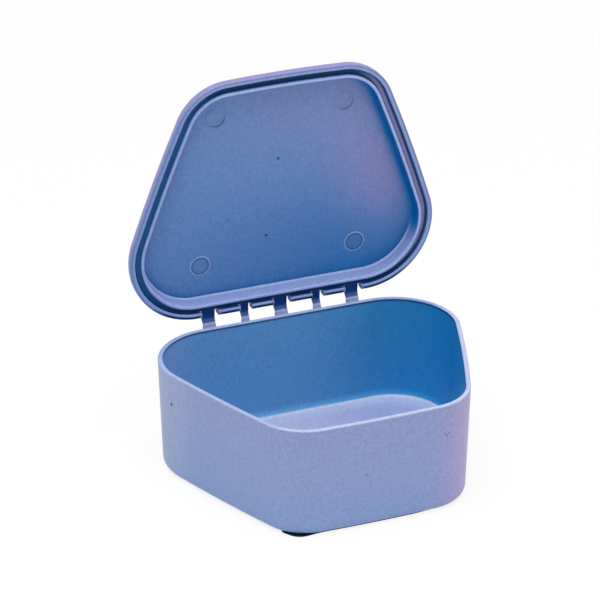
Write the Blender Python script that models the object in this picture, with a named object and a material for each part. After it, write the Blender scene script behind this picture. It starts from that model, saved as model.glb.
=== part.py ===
"""Hinged plastic box for a dental model, standing open.

The box is a rounded trapezoid seen from above, wide at the hinge and narrow at the front.
The frame is in metres: +Z up, +X to the right along the hinge, +Y from the front to the hinge.
The origin is at the middle of the tub's underside, which stands on z = 0.
"""
import math

import bmesh
import bpy
from mathutils import Matrix, Vector

# Outline of the tub's rim: a trapezoid whose four corners are rounded off
back_span = 0.0900           # between the sharp back corners, before rounding
front_span = 0.0460          # between the sharp front corners, before rounding
depth = 0.0590               # front side to hinge side
back_corner_radius = 0.0160
front_corner_radius = 0.0125
slant_bow = 0.0003           # how far the middle of a slanted side bulges
front_bow = 0.0003           # how far the middle of the front side bulges

# Tub
tub_height = 0.0280
wall = 0.0012
floor_thickness = 0.0014
wall_lean = 0.0009           # how far the wall draws in from the rim to the base
base_edge_radius = 0.0024
floor_fillet = 0.0025
rim_edge_radius = 0.00035

# Clearances
seat_gap = 0.0003            # between pieces that touch on the real box
fit_gap = 0.0002             # each side of the rim, in the closed lid's groove
notch_gap = 0.0005           # each side of a strap, in its notch

# Hinge
open_angle = math.radians(87.0)      # lid, from closed to how it stands
hinge_reach = 0.0030         # film line behind the tub's back wall
hinge_pitch = 0.0094         # between neighbouring straps
strap_widths = (0.0033, 0.0020, 0.0033, 0.0020, 0.0033)
strap_thickness = 0.0010
film_thickness = 0.0004      # where a strap is thinned to bend
film_taper = 0.0008          # length over which it thins
ledge_drop = 0.0013          # a ledge's level part below the film line's height
ledge_rise = math.radians(58.0)      # slope at which it climbs to the film line

# Lid
skirt_thickness = 0.0011
skirt_drop = 0.0013          # skirt below the groove's floor
rib_thickness = 0.0009
rib_drop = 0.0011            # plug rib below the groove's floor
flange_thickness = 0.0012    # over the groove
panel_thickness = 0.0012
panel_rise = 0.0021          # inner face of the panel above the groove's floor
panel_wall_lean = 0.0003     # how far the raised wall draws in as it rises
panel_fillet = 0.0009
shoulder_radius = 0.0016     # outer edge of the raised panel
shoulder_foot_radius = 0.0005
flange_edge_radius = 0.0010
crest_radius = 0.0003        # edges of the skirt and of the rib

# How finely the curves are cut
back_corner_steps = 10
front_corner_steps = 8
side_steps = 4
edge_steps = 2
fillet_steps = 3
cut_overrun = 0.0010         # how far a cutter passes the faces that it cuts

# Places that follow from these sizes
axis_y = depth / 2 + hinge_reach
axis_z = tub_height + seat_gap / 2
groove_z = seat_gap / 2      # groove's floor over the hinge axis, lid closed
flange_z = groove_z + flange_thickness
panel_z = groove_z + panel_rise
panel_top_z = panel_z + panel_thickness
skirt_z = groove_z - skirt_drop
rib_z = groove_z - rib_drop
skirt_in = -fit_gap
skirt_out = skirt_in - skirt_thickness
rib_out = wall + fit_gap
rib_in = rib_out + rib_thickness

plastic_blue = (0.235, 0.335, 0.640, 1.0)
hinge_blue = (0.195, 0.300, 0.610, 1.0)


def remove_scene_objects():
    for old in list(bpy.data.objects):
        bpy.data.objects.remove(old, do_unlink=True)


def make_plastic(name, colour, roughness):
    """Moulded polypropylene with a satin surface."""
    material = bpy.data.materials.new(name)
    material.use_nodes = True
    shader = material.node_tree.nodes["Principled BSDF"]
    shader.inputs["Base Color"].default_value = colour
    shader.inputs["Roughness"].default_value = roughness
    shader.inputs["Metallic"].default_value = 0.0
    return material


def arc(centre, radius, start, end, steps):
    """Points of an arc in a plane, from the angle start to the angle end, in degrees."""
    points = []
    for step in range(steps + 1):
        angle = math.radians(start + (end - start) * step / steps)
        points.append((centre[0] + radius * math.cos(angle), centre[1] + radius * math.sin(angle)))
    return points


def bowed(start, end, bow, steps):
    """Points between two ends of a side that bulges to its left, as seen from start to end."""
    along = Vector(end) - Vector(start)
    outwards = Vector((-along.y, along.x)).normalized()
    points = []
    for step in range(1, steps):
        share = step / steps
        points.append(tuple(Vector(start) + along * share + outwards * (bow * 4 * share * (1 - share))))
    return points


def outline(inset):
    """The rim's outline moved inwards by inset, from the middle of the back, clockwise from above."""
    slant = math.atan2((back_span - front_span) / 2, depth)
    lean = math.degrees(slant)
    reach = back_span / 2 * math.cos(slant) - depth / 2 * math.sin(slant)
    back_y = depth / 2 - back_corner_radius
    front_y = front_corner_radius - depth / 2
    back_x = (reach - back_corner_radius + back_y * math.sin(slant)) / math.cos(slant)
    front_x = (reach - front_corner_radius + front_y * math.sin(slant)) / math.cos(slant)
    back = arc((back_x, back_y), back_corner_radius - inset, 90, -lean, back_corner_steps)
    front = arc((front_x, front_y), front_corner_radius - inset, -lean, -90, front_corner_steps)
    right = back + bowed(back[-1], front[0], slant_bow, side_steps) + front
    left = [(-x, y) for x, y in reversed(right)]
    return right + bowed(right[-1], left[0], front_bow, side_steps) + left


def solid_from_profile(name, profile, material, origin):
    """One closed body: the outline at each (inset, height) of the profile, joined ring to ring.

    The first and the last ring are closed by a flat face. The mesh is measured from origin.
    """
    bm = bmesh.new()
    rings = []
    for inset, height in profile:
        rings.append([bm.verts.new((x - origin[0], y - origin[1], height)) for x, y in outline(inset)])
    for lower, upper in zip(rings, rings[1:]):
        for i in range(len(lower)):
            j = (i + 1) % len(lower)
            bm.faces.new((lower[i], lower[j], upper[j], upper[i]))
    bm.faces.new(reversed(rings[0]))
    bm.faces.new(rings[-1])
    bmesh.ops.recalc_face_normals(bm, faces=bm.faces)
    return add_object(name, bm, material)


def add_object(name, bm, material):
    mesh = bpy.data.meshes.new(name)
    bm.to_mesh(mesh)
    bm.free()
    mesh.materials.append(material)
    mesh.shade_smooth()
    mesh.set_sharp_from_angle(angle=math.radians(35))
    obj = bpy.data.objects.new(name, mesh)
    bpy.context.scene.collection.objects.link(obj)
    return obj


def extruded(name, profile, x_low, x_high, material):
    """A straight bar along X with the given (y, z) profile, from x_low to x_high."""
    bm = bmesh.new()
    face = bm.faces.new([bm.verts.new((x_low, y, z)) for y, z in profile])
    result = bmesh.ops.extrude_face_region(bm, geom=[face])
    moved = [part for part in result["geom"] if isinstance(part, bmesh.types.BMVert)]
    bmesh.ops.translate(bm, verts=moved, vec=(x_high - x_low, 0, 0))
    bmesh.ops.recalc_face_normals(bm, faces=bm.faces)
    return add_object(name, bm, material)


def outer_inset(height):
    """How far the tub's outer wall has drawn in at a height."""
    return wall_lean * (1 - height / tub_height)


def make_tub(material):
    """Thin-walled tub, open at the top, with a soft edge round its base."""
    base = outer_inset(base_edge_radius) + base_edge_radius
    inner_foot_z = floor_thickness + floor_fillet
    inner_foot = outer_inset(inner_foot_z) + wall + floor_fillet
    rim_z = tub_height - rim_edge_radius
    profile = arc((base, base_edge_radius), base_edge_radius, 270, 180, fillet_steps)
    profile += arc((rim_edge_radius, rim_z), rim_edge_radius, 180, 90, edge_steps)
    profile += arc((wall - rim_edge_radius, rim_z), rim_edge_radius, 90, 0, edge_steps)
    profile += arc((inner_foot, inner_foot_z), floor_fillet, 180, 270, fillet_steps)
    return solid_from_profile("tub", profile, material, (0, 0))


def lid_profile():
    """The closed lid's section from the top's middle round the skirt and rib to the panel's middle."""
    wall_top = rib_in + panel_wall_lean - panel_thickness
    wall_foot = rib_in - panel_thickness
    crest = crest_radius
    foot = shoulder_foot_radius
    panel_edge = rib_in + panel_wall_lean + panel_fillet
    profile = arc((wall_top + shoulder_radius, panel_top_z - shoulder_radius), shoulder_radius,
                  90, 180, fillet_steps)
    profile += arc((wall_foot - foot, flange_z + foot), foot, 0, -90, edge_steps)
    profile += arc((skirt_out + flange_edge_radius, flange_z - flange_edge_radius), flange_edge_radius,
                   90, 180, fillet_steps)
    profile += arc((skirt_out + crest, skirt_z + crest), crest, 180, 270, edge_steps)
    profile += arc((skirt_in - crest, skirt_z + crest), crest, 270, 360, edge_steps)
    profile += [(skirt_in, groove_z), (rib_out, groove_z)]
    profile += arc((rib_out + crest, rib_z + crest), crest, 180, 270, edge_steps)
    profile += arc((rib_in - crest, rib_z + crest), crest, 270, 360, edge_steps)
    profile += arc((panel_edge, panel_z - panel_fillet), panel_fillet, 180, 90, fillet_steps)
    return profile


def strap_places():
    """Middle and width of each hinge strap along X, from left to right."""
    middle = (len(strap_widths) - 1) / 2
    return [((index - middle) * hinge_pitch, width) for index, width in enumerate(strap_widths)]


def make_lid(material, hinge):
    """Lid with a raised panel, a groove for the tub's rim and a notch in its skirt for each strap."""
    lid = solid_from_profile("lid", lid_profile(), material, (0, axis_y))
    lid.parent = hinge
    back = axis_y - depth / 2 + skirt_out - cut_overrun
    section = [(-hinge_reach, skirt_z - cut_overrun), (-back, skirt_z - cut_overrun),
               (-back, flange_z + cut_overrun), (-hinge_reach, flange_z + cut_overrun)]
    for number, (middle, width) in enumerate(strap_places(), 1):
        half = width / 2 + notch_gap
        cutter = extruded(f"notch_cutter_{number}", section, middle - half, middle + half, material)
        cutter.parent = hinge
        cutter.hide_render = True
        cutter.display_type = "WIRE"
        cut = lid.modifiers.new(f"notch_{number}", "BOOLEAN")
        cut.operation = "DIFFERENCE"
        cut.solver = "EXACT"
        cut.object = cutter
    return lid


def make_hinge_halves(material, hinge):
    """Each strap's two halves, thinned where they meet: a ledge on the tub and a strap on the lid.

    A strap lies level with the closed lid. A ledge leaves the tub's wall below the rim and climbs.
    """
    root = -hinge_reach + seat_gap
    end = -seat_gap / 2
    taper = end - film_taper
    near = seat_gap / 2
    far = near + strap_thickness
    thin = near + film_thickness
    strap = [(root, near), (end, near), (end, thin), (taper, far), (root, far)]
    level = -near - ledge_drop
    bend = end - ledge_drop / math.tan(ledge_rise)
    under = bend + strap_thickness * math.tan(ledge_rise / 2)
    film = -near - film_thickness / math.cos(ledge_rise)
    ledge = [(root, level), (bend, level), (end, -near), (end, film), (under, level - strap_thickness),
             (root, level - strap_thickness)]
    for number, (middle, width) in enumerate(strap_places(), 1):
        low = middle - width / 2
        high = middle + width / 2
        moving = extruded(f"hinge_strap_{number}", strap, low, high, material)
        moving.parent = hinge
        fixed = extruded(f"hinge_ledge_{number}", ledge, low, high, material)
        fixed.location = (0, axis_y, axis_z)


def make_hinge_empty():
    """The film hinge's axis along X. What hangs on it is modelled closed, and it stands open."""
    hinge = bpy.data.objects.new("lid_hinge", None)
    hinge.location = (0, axis_y, axis_z)
    hinge.rotation_euler = (-open_angle, 0, 0)
    bpy.context.scene.collection.objects.link(hinge)
    return hinge


remove_scene_objects()
body_plastic = make_plastic("blue_plastic", plastic_blue, 0.42)
strap_plastic = make_plastic("hinge_plastic", hinge_blue, 0.38)
lid_hinge = make_hinge_empty()
make_tub(body_plastic)
make_lid(body_plastic, lid_hinge)
make_hinge_halves(strap_plastic, lid_hinge)
bpy.context.view_layer.update()
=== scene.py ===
import math

import bpy
import numpy as np
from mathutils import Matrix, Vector


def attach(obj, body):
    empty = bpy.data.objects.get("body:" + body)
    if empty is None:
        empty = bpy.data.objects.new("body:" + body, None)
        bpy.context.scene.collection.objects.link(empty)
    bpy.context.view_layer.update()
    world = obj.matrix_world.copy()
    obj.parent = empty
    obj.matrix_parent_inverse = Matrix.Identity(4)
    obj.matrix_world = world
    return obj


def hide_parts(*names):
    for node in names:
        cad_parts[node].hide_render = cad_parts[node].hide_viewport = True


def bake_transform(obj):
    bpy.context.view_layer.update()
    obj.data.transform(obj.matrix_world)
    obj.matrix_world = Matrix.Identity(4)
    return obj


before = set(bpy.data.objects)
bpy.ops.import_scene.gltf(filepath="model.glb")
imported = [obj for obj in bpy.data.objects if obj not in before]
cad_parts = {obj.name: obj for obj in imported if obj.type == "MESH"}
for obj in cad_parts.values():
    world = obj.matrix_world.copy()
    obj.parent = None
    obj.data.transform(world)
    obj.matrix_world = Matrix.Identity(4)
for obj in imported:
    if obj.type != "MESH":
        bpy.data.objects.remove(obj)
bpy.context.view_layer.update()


# Tub
# The deep half of a box moulded in one shot from blue polypropylene: thin walls with a little draft, a
# soft edge round the base and a flat floor in a fillet. All its faces have the mould's satin finish.
back_span = 0.0900           # between the sharp back corners, before rounding
front_span = 0.0460          # between the sharp front corners, before rounding
depth = 0.0590               # front side to hinge side
back_corner_radius = 0.0160
front_corner_radius = 0.0125
slant_bow = 0.0003           # how far the middle of a slanted side bulges
front_bow = 0.0003           # how far the middle of the front side bulges
tub_height = 0.0280
wall = 0.0012
floor_thickness = 0.0014
wall_lean = 0.0009           # how far the wall draws in from the rim to the base
base_edge_radius = 0.0024
floor_fillet = 0.0025
rim_edge_radius = 0.00035
# The rim's dark line is painted shade and its lit points carry a painted highlight. The floor's light line is
# a painted highlight, and its own tones a painted pool of light.
rim_shade = 0.0006           # how far down the inner wall the rim's dark line reaches
lit_rim_points = 5           # of the rim's inner edge, before its dark line begins
floor_highlight_points = (8, 9, 12)       # of the fillet, where the floor's light line begins, is whole and ends
floor_steps = 60
floor_fade = 0.05            # share of the way inwards over which the floor takes its own tones
outer_steps = 26
side_points, corner_points, end_points = 40, 44, 18


def rim_outline(insets):
    """The rim's outline moved inwards by each inset, as an array (inset, point, xy).

    A corner point is its arc's centre plus (radius - inset) times (cos, sin). A side runs straight
    from arc to arc and bulges outwards by 4 * bow * s * (1 - s). The left half mirrors the right.
    """
    inset = np.atleast_1d(insets).astype(float)[:, None, None]
    slant = math.atan2((back_span - front_span) / 2, depth)
    reach = back_span / 2 * math.cos(slant) - depth / 2 * math.sin(slant)
    corners = []
    for radius, y, turn in (
        (back_corner_radius, depth / 2 - back_corner_radius, (math.pi / 2, -slant)),
        (front_corner_radius, front_corner_radius - depth / 2, (-slant, -math.pi / 2)),
    ):
        x = (reach - radius + y * math.sin(slant)) / math.cos(slant)
        angle = np.linspace(*turn, corner_points)
        corners.append(np.array([x, y]) + (radius - inset) * np.stack([np.cos(angle), np.sin(angle)], -1))
    back, front = corners
    share = np.linspace(0, 1, side_points)[1:-1, None]
    bulge = slant_bow * 4 * share * (1 - share) * np.array([math.cos(slant), -math.sin(slant)])
    side = back[:, -1:] * (1 - share) + front[:, :1] * share + bulge
    share = np.linspace(0, 1, end_points)[:-1, None]
    half_back = back[:, :1] * np.stack([share, np.ones_like(share)], -1)[:, 0]
    share = np.linspace(0, 0.5, end_points)[1:, None]
    half_front = front[:, -1:] * np.stack([1 - 2 * share, np.ones_like(share)], -1)[:, 0]
    half_front = half_front - np.array([0, 1]) * front_bow * 4 * share * (1 - share)
    right = np.concatenate([half_back, back, side, front, half_front], 1)
    left = right[:, -2:0:-1] * np.array([-1, 1])
    return np.concatenate([right, left], 1)


def arc(centre, radius, start, end, steps):
    """Points of an arc, centre + radius * (cos, sin), from the angle start to end in degrees."""
    angle = np.radians(np.linspace(start, end, steps + 1))
    return np.array(centre) + radius * np.stack([np.cos(angle), np.sin(angle)], -1)


def straight(start, end, steps):
    """Points between start and end, closer together near both: share = (1 - cos(pi * t)) / 2."""
    share = (1 - np.cos(np.linspace(0, math.pi, steps + 1)[1:-1, None])) / 2
    return np.array(start) * (1 - share) + np.array(end) * share


def smooth_step(value, start, end):
    """0 up to start, 1 from end on, and s * s * (3 - 2 * s) between them."""
    share = np.clip((value - start) / (end - start), 0, 1)
    return share * share * (3 - 2 * share)


def toned(points, deep=(0.0, 0.0), edge=(0.0, 0.0), crevice=(0.0, 0.0)):
    """Adds a column for each tone to (inset, height) points, running from a first to a last value.

    Deep says how deep the colour is, a painted shade, edge how pale an edge is, a painted highlight, and
    crevice how dark a crevice is, a painted shade. Far says how far deep goes to the far side's deep colour,
    a painted shade, and bloom how pink the pale colour is, a painted pink light and sheen.
    """
    tones = [np.linspace(*tone, len(points)) for tone in (deep, (0.0, 0.0), edge, crevice, (0.0, 0.0))]
    return np.column_stack([points, *tones])


def shrunk(ring, steps):
    """Rings (ring, point, value) that shrink a flat ring towards its middle.

    A ring is middle + share * (flat ring - middle), with share the cosine of even steps to 90 degrees.
    """
    share = np.cos(np.linspace(0, math.pi / 2, steps + 2)[1:-1])[:, None, None]
    middle = ring[:, :3].mean(0)
    return np.concatenate([middle + share * (ring[:, :3] - middle),
                           np.broadcast_to(ring[:, 3:], (steps, *ring[:, 3:].shape))], -1)


# The tones paint light and shade into the colour: deep, far and crevice are painted shade, edge a painted
# highlight, and bloom a painted pink light and sheen.
tone_columns = {"deep": 3, "far": 4, "edge": 5, "crevice": 6, "bloom": 7}
width_of_points = 3 + len(tone_columns)


def mesh_object(name, points, faces):
    """An object with smooth faces over points of x, y, z and the tones, kept as point attributes."""
    mesh = bpy.data.meshes.new(name)
    mesh.from_pydata(points[:, :3].tolist(), [], faces)
    for tone, column in tone_columns.items():
        values = mesh.attributes.new(tone + "_tone", "FLOAT", "POINT")
        values.data.foreach_set("value", points[:, column].astype(np.float32))
    mesh.shade_smooth()
    mesh.update()
    thing = bpy.data.objects.new(name, mesh)
    bpy.context.scene.collection.objects.link(thing)
    return thing


def skin(name, rings):
    """A closed skin over rings (ring, point, value) of x, y, z and tones, with a point in each end."""
    count, around = rings.shape[:2]
    ends = np.stack([rings[0].mean(0), rings[-1].mean(0)])
    points = np.concatenate([rings.reshape(-1, width_of_points), ends])
    ring, spot = np.mgrid[0:count - 1, 0:around]
    after = (spot + 1) % around
    quads = np.stack([ring * around + spot, ring * around + after,
                      (ring + 1) * around + after, (ring + 1) * around + spot], -1).reshape(-1, 4)
    spot = np.arange(around)
    after = (spot + 1) % around
    last = (count - 1) * around
    first_fan = np.stack([after, spot, np.full(around, count * around)], -1)
    last_fan = np.stack([last + spot, last + after, np.full(around, count * around + 1)], -1)
    return mesh_object(name, points, quads.tolist() + first_fan.tolist() + last_fan.tolist())


def outer_inset(height):
    """How far the tub's outer wall has drawn in at a height."""
    return wall_lean * (1 - height / tub_height)


def raised(profile):
    """Carries (inset, height, tones) round the outline, as rings (ring, point, value)."""
    flat = rim_outline(profile[:, 0])
    rest = np.broadcast_to(profile[:, None, 1:], (*flat.shape[:2], width_of_points - 2))
    return np.concatenate([flat, rest], -1)


base = outer_inset(base_edge_radius) + base_edge_radius
foot_z = floor_thickness + floor_fillet
foot = outer_inset(foot_z) + wall + floor_fillet
rim_z = tub_height - rim_edge_radius
shade_z = rim_z - rim_shade
base_arc = arc((base, base_edge_radius), base_edge_radius, 270, 180, 14)
outer_rim_arc = arc((rim_edge_radius, rim_z), rim_edge_radius, 180, 90, 8)
inner_rim_arc = arc((wall - rim_edge_radius, rim_z), rim_edge_radius, 90, 0, 8)
rim_shade_line = straight(inner_rim_arc[-1], (wall + outer_inset(shade_z), shade_z), 5)
floor_arc = arc((foot, foot_z), floor_fillet, 180, 270, 16)
rim_top = straight(outer_rim_arc[-1], inner_rim_arc[0], 6)
highlight_start, highlight_whole, highlight_end = floor_highlight_points
# The profile's tones paint light and shade: painted shade under the base edge and down the inside walls,
# painted highlights on the rim, and a painted highlight line and pool of light on the floor.
tub_profile = np.concatenate([
    toned(base_arc[:6], crevice=(1.0, 0.3)),
    toned(base_arc[6:]),
    toned(straight(base_arc[-1], outer_rim_arc[0], outer_steps + 1)),
    toned(outer_rim_arc, edge=(0.1, 0.7)),
    toned(rim_top, edge=(0.7, 0.7)),
    toned(inner_rim_arc[:lit_rim_points], edge=(0.7, 0.6)),
    toned(inner_rim_arc[lit_rim_points:], deep=(0.6, 1.0), crevice=(0.3, 0.9)),
    toned(rim_shade_line, deep=(1.0, 1.0), crevice=(0.9, 0.0)),
    toned(straight(rim_shade_line[-1], floor_arc[0], 30), deep=(1.0, 1.0)),
    toned(floor_arc[:highlight_start], deep=(1.0, 0.95)),
    toned(floor_arc[highlight_start:highlight_whole], deep=(0.2, 0.2), edge=(0.7, 0.7)),
    toned(floor_arc[highlight_whole:highlight_end], edge=(0.9, 0.5)),
    toned(floor_arc[highlight_end:], edge=(0.42, 0.42)),
])
tub_rings = raised(tub_profile)

# A side is a share of the way that the outline faces. The rim's painted highlight is strongest at the
# front, and by the hinge the rim is painted deeper in shade.
facing = rim_outline(0.0)[0] - rim_outline(0.002)[0]
facing /= np.linalg.norm(facing, axis=1, keepdims=True)
right_side = smooth_step(facing[:, 0], 0.25, 0.85)
left_side = smooth_step(-facing[:, 0], 0.1, 0.8)
front_side = smooth_step(-facing[:, 1], 0.2, 0.9)
hinge_side = smooth_step(facing[:, 1], 0.1, 0.6)
by_hinge = smooth_step(facing[:, 1], 0.6, 0.95)
rim_start = len(base_arc) + outer_steps
rim_rows = slice(rim_start, rim_start + len(outer_rim_arc) + len(rim_top) + lit_rim_points)
tub_rings[rim_rows, :, 5] *= 1 - 0.65 * left_side * (1 - front_side) \
    - 0.35 * right_side * (1 - front_side) - 0.55 * hinge_side
tub_rings[rim_rows, :, 3] += 0.25 * hinge_side

# The outer wall is painted deeper towards the base, a painted shade, but not on the right, where a painted
# pink light from the warm lamp and a painted highlight on the corner make it pale. The far left edge
# gets a painted highlight too.
outer = slice(0, len(base_arc) + outer_steps)
lower = 1 - np.clip(tub_rings[outer, :, 2] / tub_height, 0, 1)
right_share = smooth_step(tub_rings[outer, :, 0], 0.004, 0.020)
tub_rings[outer, :, 3] = lower * (0.26 - 0.24 * right_share)
tub_rings[outer, :, 7] = 0.9 * smooth_step(tub_rings[outer, :, 0], 0.010, 0.030)
tub_rings[outer, :, 5] += 0.20 * smooth_step(tub_rings[outer, :, 0], 0.022, 0.032) \
    + 0.22 * smooth_step(-tub_rings[outer, :, 0], 0.034, 0.037)
# The inner floor goes from its painted highlight line to its own tones, a painted pool of light, and it
# is painted deeper in shade on the right.
inner_floor = shrunk(tub_rings[-1], floor_steps)
inwards = 1 - np.cos(np.linspace(0, math.pi / 2, floor_steps + 2)[1:-1, None])
own_tones = 1 - np.exp(-inwards / floor_fade)
inner_right = smooth_step(inner_floor[..., 0], -0.005, 0.024) * own_tones
inner_floor[..., 5] = 0.42 - 0.22 * inner_right + 0.06 * (1 - inner_right)
inner_floor[..., 6] = 0.08 * own_tones
inner_floor[..., 7] = 0.30 * own_tones
inner_floor[..., 3] = 0.16 * inner_right
tub_rings = np.concatenate([shrunk(tub_rings[0], 14)[::-1], tub_rings, inner_floor])
# The far tone paints the right side's shade, and the inner left wall is painted less deep, a painted light
# from the warm side lamp.
tub_rings[..., 4] = smooth_step(tub_rings[..., 0], 0.0, 0.036)
tub_rings[..., 3] -= 0.27 * (tub_rings[..., 3] == 1) * smooth_step(-tub_rings[..., 0], 0.018, 0.034)
tub = skin("tub_shell", tub_rings)


def add_node(tree, kind, **values):
    """Adds a node. A value that names an input sets its constant or links it; another sets a property."""
    node = tree.nodes.new(kind)
    for key, value in values.items():
        if key in node.bl_rna.properties:
            setattr(node, key, value)
    for key, value in values.items():
        if key in node.bl_rna.properties:
            continue
        socket = node.inputs[int(key[1:])] if key[1:].isdigit() else node.inputs[key.replace("_", " ")]
        if isinstance(value, bpy.types.NodeSocket):
            tree.links.new(value, socket)
        else:
            socket.default_value = value
    return node


def blended(tree, share, first, second):
    """The colour first where share is 0, second where it is 1."""
    return add_node(tree, "ShaderNodeMix", data_type="RGBA", _0=share, _6=first, _7=second).outputs[2]


def moulded_skin_group():
    """Satin moulded plastic: colour by the five tones of painted light and shade, drifting pigment, and the
    mould's fine grain.
    """
    tree = bpy.data.node_groups.new("moulded_skin", "ShaderNodeTree")
    colours = ("Pale", "Bloom", "Deep", "Far Deep", "Edge", "Crevice")
    numbers = ("Deep Tone", "Far Tone", "Edge Tone", "Crevice Tone", "Bloom Tone",
               "Drift", "Gloss Drift", "Roughness", "Grain")
    tree.interface.new_socket("Vector", in_out="INPUT", socket_type="NodeSocketVector")
    for name in colours:
        tree.interface.new_socket(name, in_out="INPUT", socket_type="NodeSocketColor")
    for name in numbers:
        tree.interface.new_socket(name, in_out="INPUT", socket_type="NodeSocketFloat")
    for name, kind in (("Color", "Color"), ("Roughness", "Float"), ("Normal", "Vector")):
        tree.interface.new_socket(name, in_out="OUTPUT", socket_type="NodeSocket" + kind)
    given = tree.nodes.new("NodeGroupInput").outputs
    where = given["Vector"]
    cloud = add_node(tree, "ShaderNodeTexNoise", Vector=where, Scale=75.0, Detail=2.0)
    swing = add_node(tree, "ShaderNodeMath", operation="SUBTRACT", _0=cloud.outputs["Fac"], _1=0.5)
    swing = add_node(tree, "ShaderNodeMath", operation="MULTIPLY", _0=swing.outputs[0], _1=given["Drift"])
    amount = add_node(tree, "ShaderNodeMath", operation="ADD", use_clamp=True,
                      _0=given["Deep Tone"], _1=swing.outputs[0]).outputs[0]
    bloom = add_node(tree, "ShaderNodeTexNoise", Vector=where, Scale=110.0, Detail=3.0, Roughness=0.6)
    bloom = add_node(tree, "ShaderNodeMapRange", Value=bloom.outputs["Fac"], From_Min=0.42, From_Max=0.72,
                     To_Min=0.0, To_Max=0.08)
    bloom = add_node(tree, "ShaderNodeMath", operation="ADD", use_clamp=True, _0=bloom.outputs[0],
                     _1=given["Bloom Tone"]).outputs[0]
    pale = blended(tree, bloom, given["Pale"], given["Bloom"])
    deep = blended(tree, given["Far Tone"], given["Deep"], given["Far Deep"])
    colour = blended(tree, amount, pale, deep)
    colour = blended(tree, given["Edge Tone"], colour, given["Edge"])
    colour = blended(tree, given["Crevice Tone"], colour, given["Crevice"])
    fleck = add_node(tree, "ShaderNodeTexNoise", Vector=where, Scale=1300.0, Detail=2.0)
    fleck = add_node(tree, "ShaderNodeMapRange", Value=fleck.outputs["Fac"], From_Min=0.3, From_Max=0.7,
                     To_Min=0.92, To_Max=1.08)
    colour = add_node(tree, "ShaderNodeVectorMath", operation="SCALE", _0=colour, Scale=fleck.outputs[0])
    grain = add_node(tree, "ShaderNodeTexNoise", Vector=where, Scale=2600.0, Detail=2.0)
    bump = add_node(tree, "ShaderNodeBump", Strength=given["Grain"], Distance=0.00004,
                    Height=grain.outputs["Fac"])
    rough = add_node(tree, "ShaderNodeTexNoise", Vector=where, Scale=260.0, Detail=3.0)
    rough = add_node(tree, "ShaderNodeMath", operation="SUBTRACT", _0=rough.outputs["Fac"], _1=0.5)
    rough = add_node(tree, "ShaderNodeMath", operation="MULTIPLY_ADD", use_clamp=True, _0=rough.outputs[0],
                     _1=given["Gloss Drift"], _2=given["Roughness"])
    add_node(tree, "NodeGroupOutput", Color=colour.outputs[0], Roughness=rough.outputs[0],
             Normal=bump.outputs[0])
    return tree


moulded_skin = moulded_skin_group()


def moulded_plastic(name, colours, flecks=(), roughness=0.45, grain=0.3, drift=0.08, gloss=0.25):
    """Polypropylene with the moulded skin, its tones of painted light and shade read from the mesh.

    A fleck is a dark spot, nearer than its radius to its place: 1 at the middle and 0 at the radius.
    """
    material = bpy.data.materials.new(name)
    material.use_nodes = True
    tree = material.node_tree
    shader = tree.nodes["Principled BSDF"]
    place = add_node(tree, "ShaderNodeTexCoord").outputs["Object"]
    skin_node = add_node(tree, "ShaderNodeGroup", node_tree=moulded_skin)
    tree.links.new(place, skin_node.inputs["Vector"])
    for tone in tone_columns:
        value = add_node(tree, "ShaderNodeAttribute", attribute_name=tone + "_tone").outputs["Fac"]
        tree.links.new(value, skin_node.inputs[tone.title() + " Tone"])
    for key, colour in colours.items():
        skin_node.inputs[key].default_value = (*colour, 1.0)
    for key, value in (("Drift", drift), ("Gloss Drift", 0.12), ("Roughness", roughness), ("Grain", grain)):
        skin_node.inputs[key].default_value = value
    colour = skin_node.outputs["Color"]
    for spot, radius, strength in flecks:
        away = add_node(tree, "ShaderNodeVectorMath", operation="DISTANCE", _0=place, _1=spot)
        dark = add_node(tree, "ShaderNodeMapRange", Value=away.outputs["Value"], From_Min=radius * 0.4,
                        From_Max=radius, To_Min=strength, To_Max=0.0)
        colour = blended(tree, dark.outputs[0], colour, (*colours["Crevice"], 1.0))
    tree.links.new(colour, shader.inputs["Base Color"])
    tree.links.new(skin_node.outputs["Roughness"], shader.inputs["Roughness"])
    tree.links.new(skin_node.outputs["Normal"], shader.inputs["Normal"])
    shader.inputs["IOR"].default_value = 1.5
    shader.inputs["Specular IOR Level"].default_value = gloss
    return material


# The crevice colour is the colour of painted shade; the flecks use it too.
crevice_blue = (0.001, 0.022, 0.10)
# Bloom is a painted pink light and sheen, Deep and Far Deep paint the inside's shade, Edge a painted
# highlight and Crevice painted shade.
tub_colours = {"Pale": (0.285, 0.363, 0.635), "Bloom": (0.43, 0.345, 0.58), "Deep": (0.12, 0.355, 0.665),
               "Far Deep": (0.014, 0.265, 0.575), "Edge": (0.55, 0.61, 0.72), "Crevice": crevice_blue}
wall_flecks = [((-0.03718, 0.00947, 0.02025), 0.0006, 0.9), ((-0.0039, -0.0293, 0.0140), 0.0004, 0.45),
               ((0.0160, -0.0291, 0.0206), 0.0004, 0.4), ((0.0165, -0.0291, 0.0200), 0.0004, 0.5),
               ((0.0171, -0.0291, 0.0205), 0.0004, 0.35)]
tub.data.materials.append(moulded_plastic("tub_plastic", tub_colours, wall_flecks, drift=0.05))
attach(tub, "tub")
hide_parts("tub")


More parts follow.
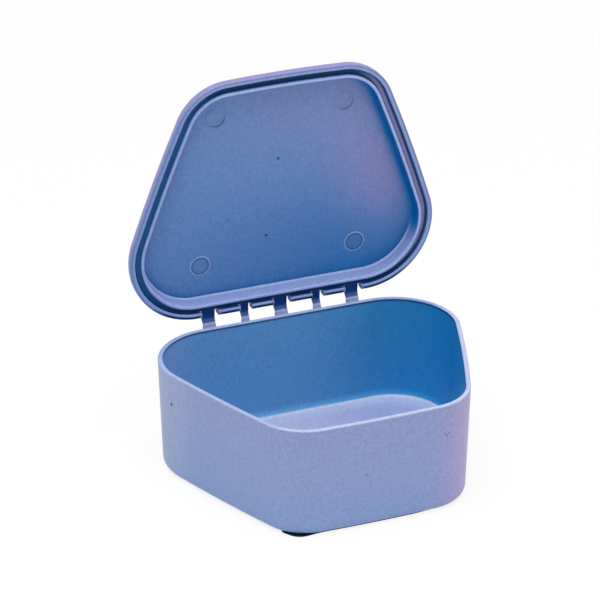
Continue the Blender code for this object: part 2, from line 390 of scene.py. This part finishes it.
# Lid
# The shallow half of the same moulding: a raised panel, a skirt that closes outside the tub's rim, a
# plug rib that closes inside it, and the groove between them. The skirt is notched for each strap.
open_angle = math.radians(87.0)      # from closed to how it stands
hinge_reach = 0.0030         # film line behind the tub's back wall
seat_gap = 0.0003            # between faces that touch when the box is closed
skirt_gap = 0.00006          # between the rim and the closed lid's skirt
rib_gap = 0.0003             # between the rim and the closed lid's rib
notch_gap = 0.0005           # each side of a strap, in its notch
hinge_pitch = 0.0094         # between neighbouring straps
strap_widths = (0.0033, 0.0020, 0.0033, 0.0020, 0.0033)
skirt_thickness = 0.00123
skirt_drop = 0.0013          # skirt below the groove's floor
rib_thickness = 0.00085
rib_drop = 0.0011            # plug rib below the groove's floor
flange_thickness = 0.0012    # over the groove
panel_thickness = 0.0012
panel_rise = 0.0021          # inner face of the panel above the groove's floor
panel_wall_lean = 0.0003     # how far the raised wall draws in as it rises
panel_fillet = 0.0005
shoulder_radius = 0.0016     # outer edge of the raised panel
shoulder_foot_radius = 0.0005
flange_edge_radius = 0.0010
crest_radius = 0.0003        # edges of the skirt and of the rib
groove_radius = 0.00025      # inner corners of the groove

axis_y = depth / 2 + hinge_reach
axis_z = tub_height + seat_gap / 2
groove_z = seat_gap / 2      # heights over the hinge axis, lid closed
flange_z = groove_z + flange_thickness
panel_z = groove_z + panel_rise
panel_top_z = panel_z + panel_thickness
skirt_z = groove_z - skirt_drop
rib_z = groove_z - rib_drop
skirt_in = -skirt_gap
skirt_out = skirt_in - skirt_thickness
rib_out = wall + rib_gap
rib_in = rib_out + rib_thickness


def opened(points):
    """Turns closed points, with heights over the hinge axis, about the axis to how the lid stands."""
    y, z = points[..., 1] - axis_y, points[..., 2]
    turned = points.copy()
    turned[..., 1] = axis_y + y * math.cos(open_angle) + z * math.sin(open_angle)
    turned[..., 2] = axis_z - y * math.sin(open_angle) + z * math.cos(open_angle)
    return turned


def tint_panel(rings):
    """Sets the tones of the raised panel on rings of closed points.

    Across runs from -1 to 1 and along from 0 to 1, to the hinge. Deep is painted shade and reflection:
    a slope across, a soft rise along that is steeper on the right, and one more rise by the hinge. Far
    paints the right in shade. A patch on the right, a bell in both directions, is a painted pink light,
    pinker and less deep.
    """
    across = rings[..., 0] / (0.34 * back_span)
    along = 0.5 + rings[..., 1] / depth
    patch = np.exp(-(across - 0.95) ** 2 / 0.14 - (along - 0.5) ** 2 / 0.08)
    side = 1 - 0.25 * np.exp(-(across - 0.8) ** 2 / 0.2 - (along - 0.45) ** 2 / 0.04)
    rings[..., 3] = (0.24 - 0.17 * across + (0.5 + 0.38 * across) * smooth_step(along, 0.1, 0.9)
                     + 0.2 * smooth_step(along, 0.85, 1.0)) * (1 - 0.6 * patch) * side
    rings[..., 4] = 0.5 * np.clip(0.2 + across, 0, 1)
    rings[..., 7] = 0.65 * patch


wall_top = rib_in + panel_wall_lean - panel_thickness
wall_foot = rib_in - panel_thickness
panel_edge = rib_in + panel_wall_lean + panel_fillet
lid_arcs = {          # centre, radius, first and last angle, steps
    "shoulder": ((wall_top + shoulder_radius, panel_top_z - shoulder_radius), shoulder_radius, 90, 180, 10),
    "shoulder_foot": ((wall_foot - shoulder_foot_radius, flange_z + shoulder_foot_radius),
                      shoulder_foot_radius, 0, -90, 6),
    "flange_edge": ((skirt_out + flange_edge_radius, flange_z - flange_edge_radius), flange_edge_radius,
                    90, 180, 8),
    "skirt_outer_crest": ((skirt_out + crest_radius, skirt_z + crest_radius), crest_radius, 180, 270, 6),
    "skirt_inner_crest": ((skirt_in - crest_radius, skirt_z + crest_radius), crest_radius, 270, 360, 6),
    "groove_outer": ((skirt_in + groove_radius, groove_z - groove_radius), groove_radius, 180, 90, 4),
    "groove_inner": ((rib_out - groove_radius, groove_z - groove_radius), groove_radius, 90, 0, 4),
    "rib_outer_crest": ((rib_out + crest_radius, rib_z + crest_radius), crest_radius, 180, 270, 6),
    "rib_inner_crest": ((rib_in - crest_radius, rib_z + crest_radius), crest_radius, 270, 360, 6),
    "panel_foot": ((panel_edge, panel_z - panel_fillet), panel_fillet, 180, 90, 10),
}
steps_after = (6, 8, 8, 4, 7, 10, 7, 3, 12, 0)      # along the straight run that follows each arc
profile, rows = [], {}
for (part, shape), steps in zip(lid_arcs.items(), steps_after):
    points = arc(*shape)
    if profile:
        profile.append(straight(profile[-1][-1], points[0], last_steps))
        rows["to_" + part] = slice(sum(map(len, profile[:-1])), sum(map(len, profile)))
    rows[part] = slice(sum(map(len, profile)), sum(map(len, profile)) + len(points))
    profile.append(points)
    last_steps = steps
lid_rings = raised(toned(np.concatenate(profile)))
rib_rows = slice(rows["groove_inner"].start, rows["rib_inner_crest"].stop)

# Each part of the section gets its tones, which paint light and shade: painted shade in the groove and
# under the skirt, painted highlights on the crests. The groove is painted paler on the right, as if open
# to the light there, and so is the rib's inner face at the hinge.
lid_rings[rib_rows, :, 1] += 0.0002 * by_hinge       # the rib sits nearer the rim at the hinge


def tint(part, tone, first, last, start=0.0, end=1.0):
    """Sets a tone over a part's rings: first up to start, last from end on, numbers or one per point."""
    rings = rows[part]
    share = np.clip((np.linspace(0, 1, rings.stop - rings.start)[:, None] - start) / (end - start), 0, 1)
    lid_rings[rings, :, tone_columns[tone]] = first * (1 - share) + last * share


# This share scales the crests' painted highlight, weaker on the left; shaded is the painted shade under the
# skirt.
crest_highlight = 1 - 0.45 * left_side
shaded = 0.20 + 0.05 * right_side
seen_outside = np.maximum(front_side, right_side)
tint("flange_edge", "deep", 0.0, 0.1 * front_side)
tint("flange_edge", "crevice", 0.0, 0.25 * front_side + 0.05 * right_side)
tint("flange_edge", "bloom", 0.0, 0.8)
tint("to_skirt_outer_crest", "deep", 0.1 * front_side, 0.3 - 0.25 * seen_outside, 0.4)
tint("to_skirt_outer_crest", "crevice", 0.25 * front_side + 0.05 * right_side, shaded, 0.4)
tint("to_skirt_outer_crest", "bloom", 0.8, 0.8 * seen_outside)
tint("shoulder_foot", "crevice", 0.2, 0.2)
tint("skirt_outer_crest", "deep", 0.3 - 0.25 * seen_outside, 0.3 - 0.15 * seen_outside)
tint("skirt_outer_crest", "bloom", 0.8 * seen_outside, 0.5 * seen_outside)
tint("skirt_outer_crest", "crevice", shaded + 0.8 * by_hinge, shaded + 0.8 * by_hinge)
tint("to_skirt_inner_crest", "deep", 0.3, 0.3)
tint("to_skirt_inner_crest", "crevice", shaded + 0.8 * by_hinge, 0.0, 0.65 * by_hinge, 0.35 + 0.5 * by_hinge)
tint("to_skirt_inner_crest", "edge", 0.0, 0.42 * crest_highlight, 0.65 * by_hinge, 0.5 + 0.4 * by_hinge)
tint("skirt_inner_crest", "edge", 0.42 * crest_highlight, 0.3)
tint("skirt_inner_crest", "deep", 0.3, 0.5)
tint("to_groove_outer", "deep", 0.6, 1.0)
tint("to_groove_outer", "crevice", 0.05, 0.75)
for part in ("groove_outer", "to_groove_inner", "groove_inner"):
    tint(part, "deep", 1 - 0.8 * right_side, 1 - 0.8 * right_side)
    tint(part, "crevice", 0.8 - 0.35 * left_side, 0.8 - 0.35 * left_side)
groove_floor = np.linspace(0, 1, rows["to_groove_inner"].stop - rows["to_groove_inner"].start)[:, None]
lid_rings[rows["to_groove_inner"], :, 6] += 0.3 * left_side * np.clip(1 - 2 * groove_floor, 0, 1)
lid_rings[rows["to_groove_inner"], :, 6] -= 0.8 * right_side * np.sin(groove_floor * math.pi) ** 0.5
lid_rings[rows["to_groove_inner"], :, 7] += 0.8 * right_side
lid_rings[rows["to_groove_inner"], :, 5] += 0.15 * right_side
tint("to_rib_outer_crest", "deep", 1.0, 0.7 - 0.5 * front_side)
tint("to_rib_outer_crest", "crevice", 0.8 - 0.35 * left_side, 0.0, 0.0, 1 - 0.5 * front_side)
tint("rib_outer_crest", "deep", 0.7, 0.2)
tint("rib_outer_crest", "edge", 0.0, 0.9 * crest_highlight)
tint("to_rib_inner_crest", "edge", 0.9 * crest_highlight, crest_highlight)
tint("rib_inner_crest", "edge", crest_highlight, 0.4 * hinge_side)
tint("rib_inner_crest", "deep", 0.0, 1 - hinge_side)
tint("rib_inner_crest", "far", 0.0, 1.0)
tint("to_panel_foot", "deep", 1 - hinge_side, 1 - hinge_side)
tint("to_panel_foot", "far", 1.0, 1.0)
tint("to_panel_foot", "edge", 0.35 * hinge_side, 0.1 * hinge_side, 0.0, 0.3)
tint("to_panel_foot", "crevice", 0.0, 0.10 * hinge_side, 0.0, 0.3)
tint("panel_foot", "deep", 1 - hinge_side, 1 - hinge_side)
tint("panel_foot", "far", 1 - hinge_side, 0.3 * (1 - hinge_side))
tint("panel_foot", "edge", 0.1 * hinge_side, 0.6 * hinge_side, 0.0, 0.5)
# The foot's last points carry a painted dark line of shade by the hinge.
lid_rings[rows["panel_foot"], :, 5][-2:] = 0
lid_rings[rows["panel_foot"], :, 6][-2:] = 0.45 * hinge_side
lid_rings[rows["panel_foot"], :, 3][-2:] = 1
panel_rings = shrunk(lid_rings[-1], 44)
# Next to its foot the panel is painted deeper in shade on the right and by the hinge, with a painted dark
# line at the hinge, and it loses its painted pink light there.
near_foot = np.exp(-(1 - np.cos(np.linspace(0, math.pi / 2, 46)[1:-1])) / 0.028)[:, None]
tint_panel(panel_rings)
panel_rings[..., 3] += (0.95 - panel_rings[..., 3]) * near_foot * np.maximum(right_side, hinge_side)
panel_rings[..., 6] = 0.30 * near_foot ** 1.5 * hinge_side
panel_rings[..., 7] *= 1 - near_foot
lid_rings = np.concatenate([shrunk(lid_rings[0], 16)[::-1], lid_rings, panel_rings])
lid_rings[..., :3] = opened(lid_rings[..., :3])
lid = skin("lid_shell", lid_rings)


def block(name, low, high):
    """A plain box between two corners, opened with the lid, that cuts a notch."""
    x, y, z = np.meshgrid(*zip(low, high), indexing="ij")
    points = opened(np.stack([x.ravel(), y.ravel(), z.ravel()], -1))
    faces = [(0, 1, 3, 2), (4, 6, 7, 5), (0, 4, 5, 1), (2, 3, 7, 6), (0, 2, 6, 4), (1, 5, 7, 3)]
    return mesh_object(name, np.column_stack([points, np.zeros((8, len(tone_columns)))]), faces)


cutters = []
for number, width in enumerate(strap_widths):
    middle = (number - (len(strap_widths) - 1) / 2) * hinge_pitch
    half = width / 2 + notch_gap
    cutter = block(f"notch_cutter_{number + 1}", (middle - half, depth / 2, skirt_z - wall),
                   (middle + half, depth / 2 + hinge_reach, flange_z + wall))
    cut = lid.modifiers.new(cutter.name, "BOOLEAN")
    cut.operation = "DIFFERENCE"
    cut.solver = "EXACT"
    cut.object = cutter
    cutters.append(cutter)
bpy.context.view_layer.update()
cut_mesh = bpy.data.meshes.new_from_object(lid.evaluated_get(bpy.context.evaluated_depsgraph_get()))
lid.modifiers.clear()
lid.data = cut_mesh
for cutter in cutters:
    bpy.data.objects.remove(cutter, do_unlink=True)
lid.data.set_sharp_from_angle(angle=math.radians(40))

# Deep and Far Deep paint shade, Edge a painted highlight, Bloom a painted pink light and sheen, and Crevice
# painted shade.
lid_colours = {"Pale": (0.25, 0.335, 0.63), "Bloom": (0.36, 0.305, 0.59), "Deep": (0.04, 0.235, 0.57),
               "Far Deep": (0.0, 0.165, 0.49), "Edge": (0.44, 0.55, 0.88), "Crevice": crevice_blue}
lid.data.materials.clear()
lid.data.materials.append(moulded_plastic("lid_plastic", lid_colours, gloss=0.15))
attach(lid, "lid")
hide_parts("lid")


# Hinge straps
# Five short straps of the same plastic, wide and narrow in turn, join the two halves. Each leaves the
# tub's wall below the rim, climbs to a thinned film line, and has been worked there until it bends.
strap_thickness = 0.0010
film_thickness = 0.0004
film_reach = 0.0003          # along the strap, each side of the film line, before it thickens
film_taper = 0.0008          # length over which it thickens
ledge_drop = 0.0013          # a ledge's level part below the film line's height
ledge_rise = math.radians(58.0)
strap_edge_radius = 0.00015
bend_length = 0.0008         # along the strap, over which a bend is rounded
root_depth = 0.00030         # how far a strap's ends run on into the tub's wall and the lid's flange
path_step = 0.00005
section_steps = 36
film_line = (-0.00025, -0.00030)     # the crease, from the hinge axis


def strap_skin(name, middle, width):
    """One strap bent at its film line: a rounded bar's section carried along a bent path.

    The path is the strap's face towards the camera's side: level out of the tub's wall, up the ledge's
    slope to the crease and straight up to the lid. It is a chain of straight runs in even steps, each
    point moved to the mean of its neighbours within bend_length. A section point is the path's point,
    plus across times X, plus height times the path's normal, with height from 0 to the thickness.
    """
    near = seat_gap / 2
    level = -near - ledge_drop
    end_reach = hinge_reach + root_depth + bend_length
    chain = np.array([(-end_reach, level),
                      (film_line[0] - (film_line[1] - level) / math.tan(ledge_rise), level),
                      film_line,
                      (near, 2 * film_reach),
                      (near * math.sin(open_angle) - end_reach * math.cos(open_angle),
                       end_reach * math.sin(open_angle))])
    runs = np.concatenate([[0], np.cumsum(np.linalg.norm(np.diff(chain, axis=0), axis=1))])
    along = np.arange(0, runs[-1], path_step)
    path = np.stack([np.interp(along, runs, chain[:, 0]), np.interp(along, runs, chain[:, 1])], -1)
    window = int(bend_length / path_step / 2) * 2 + 1
    path = np.stack([np.convolve(path[:, k], np.ones(window) / window, "valid") for k in (0, 1)], -1)
    along = along[window // 2:window // 2 + len(path)]
    tangent = np.gradient(path, axis=0)
    tangent /= np.linalg.norm(tangent, axis=1, keepdims=True)
    normal = np.stack([tangent[:, 1], -tangent[:, 0]], -1)
    from_film = np.abs(along - runs[2])
    thickness = np.interp(from_film, (film_reach, film_reach + film_taper), (film_thickness, strap_thickness))
    angle = np.linspace(0, 2 * math.pi, section_steps, endpoint=False)
    across = np.clip(np.cos(angle) * 1.6, -1, 1) * (width / 2 - strap_edge_radius) \
        + np.cos(angle) * strap_edge_radius
    up = np.clip(np.sin(angle) * 1.6, -1, 1)
    height = (thickness[:, None] / 2 - strap_edge_radius) * up + np.sin(angle) * strap_edge_radius \
        + thickness[:, None] / 2
    points = np.zeros((len(path), section_steps, width_of_points))
    points[..., 0] = middle + across
    points[..., 1:3] = path[:, None] + height[..., None] * normal[:, None] + [axis_y, axis_z]
    # The strap's half by the lid is painted deep in shade, with a painted highlight along the crease and a
    # fainter one just past it.
    lid_half = smooth_step(along - runs[2], -0.0001, 0.0002)[:, None]
    points[..., 3] = 0.15 + 0.85 * lid_half
    points[..., 5] = np.exp(-((along - runs[2] + 0.0003) / 0.00025) ** 2)[:, None] * 0.8
    points[..., 5] += np.exp(-((along - runs[2] - 0.0006) / 0.0005) ** 2)[:, None] * 0.2
    points[..., 6] = 0.1 * lid_half
    return skin(name, points[:, ::-1])


# Deep is the navy of the painted shade on the strap's half by the lid.
strap_colours = {"Pale": (0.30, 0.36, 0.62), "Bloom": (0.36, 0.34, 0.60), "Deep": (0.004, 0.075, 0.30),
                 "Far Deep": (0.004, 0.075, 0.30), "Edge": (0.45, 0.55, 0.88), "Crevice": crevice_blue}
strap_plastic = moulded_plastic("strap_plastic", strap_colours, roughness=0.5, grain=0.15, gloss=0.15)
for number, width in enumerate(strap_widths, 1):
    middle = (number - (len(strap_widths) + 1) / 2) * hinge_pitch
    strap = strap_skin(f"strap_{number}", middle, width)
    strap.data.materials.append(strap_plastic)
    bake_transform(strap)
    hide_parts(f"hinge_ledge_{number}", f"hinge_strap_{number}")


# Pin marks
# Four round pads on the lid's inner face, left where ejector pins pushed the moulding out. Each is a
# low disc in a fine groove, with a burr round it; the groove is painted dark with shade and the burr
# with a painted highlight. Two small gate spots lie nearer the middle.
pin_radius = 0.00225
pad_height = 0.00004
burr_height = 0.00010
ring_height = 0.00001        # in the groove and at the burr's foot
pad_inset = 0.0004           # from the pin's radius inwards to the flat of the pad
groove_inset = 0.0001        # and to the groove
burr_offset = 0.00015        # from the pin's radius outwards to the burr
burr_foot = 0.0004
mark_reach = 0.0007
mark_sink = 0.00002          # how far a mark's outer edge runs on under the panel's face
gate_radius = 0.00045
gate_height = 0.00018
mark_around, mark_along = 72, 59     # points round a mark and along its radius
light_from = math.radians(60)        # the side on which a half-seen ring shows
# Each mark's place on the closed lid, and how much of its ring's painted shade and highlight shows all
# round rather than on one side.
pin_marks = {"pin_mark_1": (-0.0203, 0.0183, 1.0), "pin_mark_2": (0.0200, 0.0189, 1.0),
             "pin_mark_3": (-0.0166, -0.0205, 0.0), "pin_mark_4": (0.01635, -0.0197, 0.0)}
gate_marks = {"gate_mark_1": (-0.0005, -0.0073), "gate_mark_2": (-0.0033, 0.0129)}


def round_mark(name, place, radii, heights, edge, crevice, all_round=1.0):
    """A turned shape on the lid's inner face: the height profile over the radius, carried round.

    Its edge and crevice tones, a painted highlight and painted shade, follow the radius too. Where
    all_round is 0, the painted dark ring fades to nothing on the side away from the hinge: it takes the
    cosine's share of the angle.
    """
    fine = np.linspace(0, radii[-1], mark_along + 1)[1:]
    angle = np.linspace(0, 2 * math.pi, mark_around, endpoint=False)
    points = np.zeros((mark_along, mark_around, width_of_points))
    points[..., 0] = place[0] + fine[:, None] * np.cos(angle)
    points[..., 1] = place[1] + fine[:, None] * np.sin(angle)
    points[..., 2] = panel_z - np.interp(fine, radii, heights)[:, None]
    tint_panel(points)
    one_side = np.clip(np.cos(angle - light_from), 0, 1)
    shown = all_round + (1 - all_round) * one_side
    points[..., 5] = np.interp(fine, radii, edge)[:, None] * shown
    points[..., 6] = np.interp(fine, radii, crevice)[:, None] * shown
    points[..., :3] = opened(points[..., :3])
    return skin(name, points[::-1])


pin_radii = (0, pin_radius - pad_inset, pin_radius - groove_inset, pin_radius + burr_offset,
             pin_radius + burr_foot, pin_radius + mark_reach)
pin_heights = (pad_height, pad_height, ring_height, burr_height, ring_height, -mark_sink)
for name, (x, y, all_round) in pin_marks.items():
    mark = round_mark(name, (x, y), pin_radii, pin_heights, (0, 0, 0, 0.75 * all_round, 0.2 * all_round, 0),
                      (0, 0.1, 0.75, 0.1, 0, 0), all_round)
    mark.data.materials.append(lid.data.materials[0])
    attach(mark, "lid")
gate_radii = (0, gate_radius * 0.4, gate_radius, gate_radius * 1.4)
gate_heights = (gate_height * 0.5, gate_height, gate_height * 0.3, -mark_sink)
for name, place in gate_marks.items():
    mark = round_mark(name, place, gate_radii, gate_heights, (0, 0, 0, 0), (1, 0.8, 0.2, 0))
    mark.data.materials.append(lid.data.materials[0])
    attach(mark, "lid")


# Floor
# A plain white sheet that the box stands on, wide enough to reach past the picture from any side. It is
# rings of the box's outline, so that its shown white can begin just outside the contact shadow, which
# is painted into the floor's colour as a dark crescent under the front left corner and a thin line
# along the front.
floor_reach = 4.0
floor_white = 0.88
contact_inset = 0.0027       # where the floor comes into view under the rounded base edge
contact_line = 0.0005        # how far the thin dark line along the front reaches out from there
crescent_reach = 0.0015      # how much further it reaches at the crescent's middle
crescent_x = -0.0204
crescent_half_width = 0.0034
contact_left = -0.0243       # the line's ends
contact_right = 0.0125
contact_softness = 0.00008
# The painted shadow's colour.
contact_colour = (0.010, 0.030, 0.085)
# How white the floor is shown, for distances outwards from the rim's outline.
shown_at = (-0.0032, -0.0022, -0.0002, 0.004, 0.05)
shown_shares = (0.0, 0.84, 0.88, 0.90, 0.92)
floor_insets = np.concatenate([[0.015, 0.0045], np.linspace(0.0036, 0.0002, 45), [-0.004, -0.05]])
outline = rim_outline(0)
stage_rings = np.concatenate([rim_outline(floor_insets),
                              outline / np.linalg.norm(outline, axis=-1, keepdims=True) * floor_reach])
insets = np.append(floor_insets, -floor_reach)[:, None]
shares = np.interp(-insets, shown_at, shown_shares)
across = outline[0, :, 0]
crescent = np.exp(-((across - crescent_x) / crescent_half_width) ** 2)
ends = smooth_step(across, contact_left - contact_line, contact_left + contact_line) \
    * smooth_step(-across, -contact_right - crescent_half_width, crescent_half_width - contact_right)
reach = (contact_line + crescent_reach * crescent) * ends * (outline[0, :, 1] < 0)
contact_start = contact_inset - reach
contact = smooth_step(insets, contact_start - contact_softness, contact_start + contact_softness)
contact = contact * (reach > 0)
count, around = stage_rings.shape[:2]
ring, spot = np.mgrid[0:count - 1, 0:around]
after = (spot + 1) % around
floor_faces = np.stack([(ring + 1) * around + spot, (ring + 1) * around + after, ring * around + after,
                        ring * around + spot], -1).reshape(-1, 4).tolist()
floor_faces.append(list(range(around))[::-1])
floor_points = np.concatenate([stage_rings, np.zeros((count, around, 1))], -1).reshape(-1, 3)
floor_mesh = bpy.data.meshes.new("floor")
floor_mesh.from_pydata(floor_points.tolist(), [], floor_faces)
for name, values in (("shown_white", shares * (1 - contact)), ("contact_shadow", contact)):
    shown = floor_mesh.attributes.new(name, "FLOAT", "POINT")
    shown.data.foreach_set("value", np.broadcast_to(values, (count, around)).astype(np.float32).ravel())
floor = bpy.data.objects.new("floor", floor_mesh)
bpy.context.scene.collection.objects.link(floor)
floor_material = bpy.data.materials.new("white_floor")
floor_material.use_nodes = True
floor_tree = floor_material.node_tree
floor_shader = floor_tree.nodes["Principled BSDF"]
contact_shadow = add_node(floor_tree, "ShaderNodeAttribute", attribute_name="contact_shadow").outputs["Fac"]
floor_colour = blended(floor_tree, contact_shadow, (floor_white, floor_white, floor_white, 1),
                       (*contact_colour, 1))
floor_tree.links.new(floor_colour, floor_shader.inputs["Base Color"])
floor_shader.inputs["Roughness"].default_value = 0.9
floor_shader.inputs["Specular IOR Level"].default_value = 0.1


def seen_rays(tree):
    """1 for the rays that show a background: camera, glossy and transmission rays."""
    rays = add_node(tree, "ShaderNodeLightPath").outputs
    seen = add_node(tree, "ShaderNodeMath", operation="MAXIMUM", _0=rays["Is Camera Ray"],
                    _1=rays["Is Glossy Ray"])
    return add_node(tree, "ShaderNodeMath", operation="MAXIMUM", _0=seen.outputs[0],
                    _1=rays["Is Transmission Ray"]).outputs[0]


shown_white = add_node(floor_tree, "ShaderNodeAttribute", attribute_name="shown_white").outputs["Fac"]
share = add_node(floor_tree, "ShaderNodeMath", operation="MULTIPLY", _0=seen_rays(floor_tree), _1=shown_white)
glow = add_node(floor_tree, "ShaderNodeEmission", Color=(1, 1, 1, 1), Strength=1.0)
mixed = add_node(floor_tree, "ShaderNodeMixShader", _0=share.outputs[0], _1=floor_shader.outputs[0],
                 _2=glow.outputs[0])
floor_tree.links.new(mixed.outputs[0], floor_tree.nodes["Material Output"].inputs["Surface"])
floor.data.materials.append(floor_material)


# Light
# A white room with one broad soft lamp overhead, a little to the front left, so that what faces up is
# brightest and the inside of the box stays deep in colour. A warm lamp on the right tints that side.
room_light = 0.34
world = bpy.data.worlds.new("white_room")
bpy.context.scene.world = world
world.use_nodes = True
world_tree = world.node_tree
backdrop = world_tree.nodes["Background"]
strength = add_node(world_tree, "ShaderNodeMapRange", Value=seen_rays(world_tree), To_Min=room_light,
                    To_Max=1.0)
world_tree.links.new(strength.outputs[0], backdrop.inputs["Strength"])
backdrop.inputs["Color"].default_value = (1, 1, 1, 1)


def soft_lamp(name, place, aim, size, power, colour):
    """A square lamp at place that faces aim."""
    lamp = bpy.data.lights.new(name, "AREA")
    lamp.size = size
    lamp.energy = power
    lamp.color = colour
    thing = bpy.data.objects.new(name, lamp)
    thing.location = place
    thing.rotation_euler = (Vector(aim) - Vector(place)).to_track_quat("-Z", "Y").to_euler()
    bpy.context.scene.collection.objects.link(thing)


soft_lamp("overhead_lamp", (-0.10, -0.10, 0.80), (0, 0, 0.03), 0.6, 6.4, (1.0, 1.0, 1.0))
soft_lamp("side_lamp", (0.75, -0.20, 0.25), (0, 0, 0.03), 0.4, 1.4, (1.0, 0.66, 0.78))


# Camera
# It looks from the front left and above, at the angle and distance that fit the rim, the base and the
# opened lid to their places in the picture.
camera_azimuth = math.radians(-22.434)
camera_elevation = math.radians(25.988)
camera_distance = 0.841145
camera_target = Vector((-0.001806, 0.015819, 0.038138))
focal_length = 211.714       # mm, on a sensor 36 mm wide
camera_data = bpy.data.cameras.new("camera")
camera_data.lens = focal_length
camera_data.sensor_width = 36.0
camera_data.clip_start = 0.05
camera_data.clip_end = 20.0
camera = bpy.data.objects.new("camera", camera_data)
backwards = Vector((math.sin(camera_azimuth) * math.cos(camera_elevation),
                    -math.cos(camera_azimuth) * math.cos(camera_elevation), math.sin(camera_elevation)))
camera.location = camera_target + backwards * camera_distance
camera.rotation_euler = (-backwards).to_track_quat("-Z", "Y").to_euler()
bpy.context.scene.collection.objects.link(camera)
bpy.context.scene.camera = camera
bpy.context.scene.view_settings.view_transform = "Standard"
